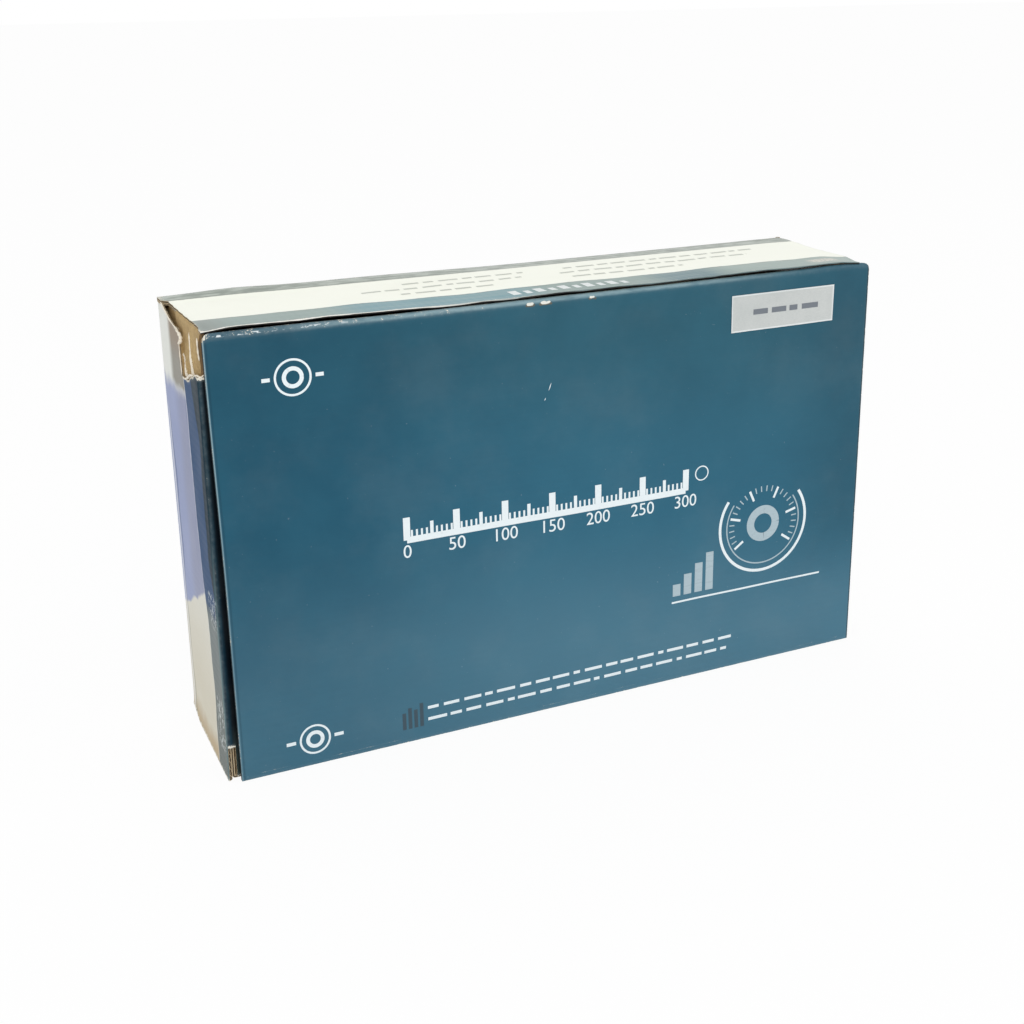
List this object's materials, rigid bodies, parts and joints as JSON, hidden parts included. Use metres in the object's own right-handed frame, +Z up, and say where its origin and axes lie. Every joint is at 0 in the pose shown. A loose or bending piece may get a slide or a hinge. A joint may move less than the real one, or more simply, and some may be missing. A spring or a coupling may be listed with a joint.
{
  "type": "boxed aneroid sphygmomanometer",
  "caption": "Printed corrugated mailer carton standing on its hinge side, holding a palm gauge with bulb and release valve, coiled hose, rolled arm cuff and zipped pouch.",
  "frame": {"origin": "middle of the closed carton's base, on the surface that it stands on", "axes": "+X along the lid's hinge to the right of a viewer who faces the lid, +Y from the lid to the back, +Z up"},
  "size_m": [0.245, 0.0571, 0.15],
  "materials": {
    "printed_board": "satin print on worn corrugated board",
    "kraft_board": "bare kraft",
    "insert_card": "matte white card",
    "label_paper": "matte",
    "leaflet_paper": "matte",
    "black_rubber": "satin",
    "bladder_rubber": "matte",
    "cuff_cloth": "woven nylon",
    "hook_tape": "hook and loop pile",
    "chrome_metal": "polished plating",
    "case_paint": "satin enamel",
    "clear_lens": "clear, polished",
    "dial_paint": "matte white",
    "pointer_paint": "matte black",
    "movement_brass": "brushed",
    "spring_alloy": "rolled",
    "bright_steel": "satin",
    "pouch_vinyl": "grained vinyl",
    "zip_nylon": "matte"
  },
  "bodies": {
    "carton": {"back_panel": "printed_board", "bottom_wall": "printed_board", "top_wall": "printed_board", "left_wall": "printed_board", "right_wall": "printed_board", "bottom_left_corner_flap": "kraft_board", "bottom_right_corner_flap": "kraft_board", "top_left_corner_flap": "kraft_board", "top_right_corner_flap": "kraft_board", "insert_deck": "insert_card", "insert_left_leg": "insert_card", "insert_right_leg": "insert_card", "inflation_bulb": "black_rubber", "inlet_valve_body": "chrome_metal", "inlet_screen": "bright_steel", "valve_block": "chrome_metal", "gauge_case": "case_paint", "gauge_stem": "chrome_metal", "stem_nut": "chrome_metal", "lens_gasket": "black_rubber", "gauge_lens": "clear_lens", "gauge_bezel": "chrome_metal", "capsule": "spring_alloy", "capsule_feed_tube": "spring_alloy", "base_plate": "movement_brass", "top_plate": "movement_brass", "movement_pillars": "movement_brass", "movement_screws": "bright_steel", "rocker_brackets": "movement_brass", "hairspring": "spring_alloy", "hairspring_stud": "movement_brass", "dial": "dial_paint", "dial_screws": "bright_steel", "cuff_wrap": "cuff_cloth", "cuff_bladder": "bladder_rubber", "cuff_port": "black_rubber", "hook_pad": "hook_tape", "hose": "black_rubber", "hose_tie": "hook_tape", "storage_pouch": "pouch_vinyl", "pouch_zip": "zip_nylon", "leaflet": "leaflet_paper"},
    "lid": {"lid_panel": "printed_board", "front_label": "label_paper"},
    "tuck_flap": {"tuck_flap": "printed_board"},
    "left_ear": {"left_ear": "printed_board"},
    "right_ear": {"right_ear": "printed_board"},
    "sector_gear": {"sector_gear": "movement_brass"},
    "pointer": {"pinion_arbor": "movement_brass", "pointer": "pointer_paint"},
    "rocker": {"rocker": "bright_steel"},
    "push_stud": {"push_stud": "bright_steel"},
    "valve_spindle": {"valve_spindle": "movement_brass", "spindle_ring": "black_rubber"},
    "valve_knob": {"valve_knob": "chrome_metal"},
    "inlet_ball": {"inlet_ball": "bright_steel"},
    "outlet_ball": {"outlet_ball": "bright_steel"},
    "zip_slider": {"zip_slider": "bright_steel"}
  },
  "joints": [
    {"name": "lid_hinge", "type": "hinge", "parent": "carton", "child": "lid", "pos_m": [0, -0.0285, 0], "axis": [1, 0, 0], "range_deg": [0, 90]},
    {"name": "tuck_flap_fold", "type": "hinge", "parent": "lid", "child": "tuck_flap", "pos_m": [0, -0.0271, 0.1483], "axis": [1, 0, 0], "range_deg": [0, 32]},
    {"name": "left_ear_fold", "type": "hinge", "parent": "lid", "child": "left_ear", "pos_m": [-0.118, -0.0271, 0.0736], "axis": [0, 0, 1], "range_deg": [0, 8.2]},
    {"name": "right_ear_fold", "type": "hinge", "parent": "lid", "child": "right_ear", "pos_m": [0.118, -0.0271, 0.0736], "axis": [0, 0, -1], "range_deg": [0, 8.2]},
    {"name": "sector_rock", "type": "hinge", "parent": "carton", "child": "sector_gear", "pos_m": [0.04362, 0, 0.0485], "axis": [0, -1, 0], "range_deg": [0, 30], "deforming": ["hairspring", "capsule"]},
    {"name": "pointer_spin", "type": "hinge", "parent": "carton", "child": "pointer", "pos_m": [0.0315, -0.012, 0.042], "axis": [0, 1, 0], "range_deg": [0, 301]},
    {"name": "rocker_turn", "type": "hinge", "parent": "carton", "child": "rocker", "pos_m": [0.0315, -0.0074, 0.047], "axis": [-1, 0, 0], "range_deg": [0, 11.7]},
    {"name": "capsule_push", "type": "slide", "parent": "carton", "child": "push_stud", "axis": [0, -1, 0], "range_m": [0, 0.00096]},
    {"name": "release_spindle_travel", "type": "slide", "parent": "carton", "child": "valve_spindle", "axis": [0, 0, -1], "range_m": [0, 0.0008]},
    {"name": "release_knob_turn", "type": "hinge", "parent": "valve_spindle", "child": "valve_knob", "pos_m": [-0.01, -0.0035, 0.019], "axis": [0, 0, -1], "range_deg": [0, 451]},
    {"name": "inlet_ball_lift", "type": "slide", "parent": "carton", "child": "inlet_ball", "axis": [1, 0, 0], "range_m": [0, 0.0008]},
    {"name": "outlet_ball_lift", "type": "slide", "parent": "carton", "child": "outlet_ball", "axis": [1, 0, 0], "range_m": [0, 0.0008]},
    {"name": "zip_slide", "type": "slide", "parent": "carton", "child": "zip_slider", "axis": [1, 0, 0], "range_m": [0, 0.138]}
  ],
  "couplings": [
    {"joint": "tuck_flap_fold", "follows": "lid_hinge", "ratio": 0.35},
    {"joint": "left_ear_fold", "follows": "lid_hinge", "ratio": 0.09},
    {"joint": "right_ear_fold", "follows": "lid_hinge", "ratio": 0.09},
    {"joint": "pointer_spin", "follows": "sector_rock", "ratio": 10},
    {"joint": "rocker_turn", "follows": "sector_rock", "ratio": 0.38667},
    {"joint": "capsule_push", "follows": "sector_rock", "m_per_rad": 0.0018144},
    {"joint": "release_knob_turn", "follows": "release_spindle_travel", "rad_per_m": 9817.5}
  ]
}
